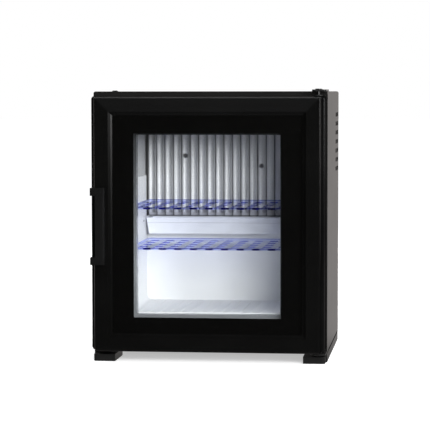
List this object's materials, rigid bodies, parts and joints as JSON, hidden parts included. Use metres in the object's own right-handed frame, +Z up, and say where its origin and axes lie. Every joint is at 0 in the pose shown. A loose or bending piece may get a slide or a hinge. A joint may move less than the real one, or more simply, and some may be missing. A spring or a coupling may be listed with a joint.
{
  "type": "minibar fridge",
  "caption": "Small hotel fridge with a hinged glass door, two see-through shelves, a ribbed cooling plate and an absorption unit behind it.",
  "frame": {"origin": "centre of the bounding box on the floor plane", "axes": "+X to the right seen from the front, +Y into the depth, +Z up; the door faces -Y"},
  "size_m": [0.4, 0.3968, 0.4639],
  "materials": {
    "case_paint": "fine satin powder coat",
    "zinc_sheet": "zinc-coated sheet",
    "hinge_steel": "satin paint",
    "pin_steel": "bright turned steel",
    "screw_steel": "zinc-plated",
    "foot_plastic": "fine grained",
    "foam": "cut rigid foam",
    "liner_white": "vacuum-formed, semi-gloss",
    "lamp_lens": "frosted",
    "evaporator_aluminium": "satin anodised",
    "tray_white": "semi-gloss moulded",
    "drain_rubber": "matt",
    "shelf_blue": "clear tinted",
    "frame_black": "satin black",
    "key_metal": "as cast",
    "pan_black": "moulded, fine grained",
    "pane_glass": "float glass",
    "border_print": "screen-printed black",
    "spacer_metal": "dark anodised",
    "reveal_grey": "moulded, semi-gloss",
    "gasket_rubber": "soft extruded",
    "bush_plastic": "natural nylon",
    "unit_paint": "semi-matt stove enamel",
    "boiler_sheet": "zinc-coated sheet",
    "lead_rubber": "cable sheath",
    "control_plastic": "moulded, fine grained"
  },
  "bodies": {
    "cabinet": {"outer_case": "case_paint", "bottom_panel": "case_paint", "back_panel": "zinc_sheet", "rear_brace": "zinc_sheet", "upper_strap": "zinc_sheet", "lower_strap": "zinc_sheet", "top_hinge_bracket": "hinge_steel", "bottom_hinge_bracket": "hinge_steel", "top_hinge_pin": "pin_steel", "bottom_hinge_pin": "pin_steel", "bracket_screws": "screw_steel", "foot_screws": "screw_steel", "strap_screws": "screw_steel", "evaporator_screws": "screw_steel", "foot_rail_left": "foot_plastic", "foot_rail_right": "foot_plastic", "blanking_plug": "foot_plastic", "insulation": "foam", "insulation_plug": "foam", "inner_liner": "liner_white", "lamp_housing": "liner_white", "lamp_lens": "lamp_lens", "evaporator_plate": "evaporator_aluminium", "evaporator_saddle": "evaporator_aluminium", "drip_tray": "tray_white", "drip_cup": "tray_white", "drain_tube": "drain_rubber", "rectifier_pipe": "unit_paint", "condenser_tube": "unit_paint", "evaporator_tube": "unit_paint", "absorber_coil": "unit_paint", "absorber_vessel": "unit_paint", "heat_exchanger_pipe": "unit_paint", "condenser_fins": "unit_paint", "boiler_casing": "boiler_sheet", "heater_cartridge": "boiler_sheet", "heater_lead": "lead_rubber", "control_box": "control_plastic", "cable_gland": "control_plastic"},
    "door": {"left_rail": "frame_black", "right_rail": "frame_black", "top_rail": "frame_black", "bottom_rail": "frame_black", "handle": "frame_black", "corner_keys": "key_metal", "door_pan": "pan_black", "outer_glass": "pane_glass", "inner_glass": "pane_glass", "printed_border": "border_print", "glazing_spacer": "spacer_metal", "inner_frame": "reveal_grey", "door_gasket": "gasket_rubber", "magnet_strips": "gasket_rubber", "handle_screws": "screw_steel", "top_hinge_bush": "bush_plastic", "bottom_hinge_bush": "bush_plastic"},
    "upper_shelf": {"upper_shelf": "shelf_blue"},
    "lower_shelf": {"lower_shelf": "shelf_blue"}
  },
  "joints": [
    {"name": "door_hinge", "type": "hinge", "parent": "cabinet", "child": "door", "pos_m": [0.1855, -0.159, 0.23], "axis": [0, 0, 1], "range_deg": [0, 120]},
    {"name": "upper_shelf_slide", "type": "slide", "parent": "cabinet", "child": "upper_shelf", "axis": [0, -1, 0], "range_m": [0, 0.016]},
    {"name": "lower_shelf_slide", "type": "slide", "parent": "cabinet", "child": "lower_shelf", "axis": [0, -1, 0], "range_m": [0, 0.016]}
  ]
}
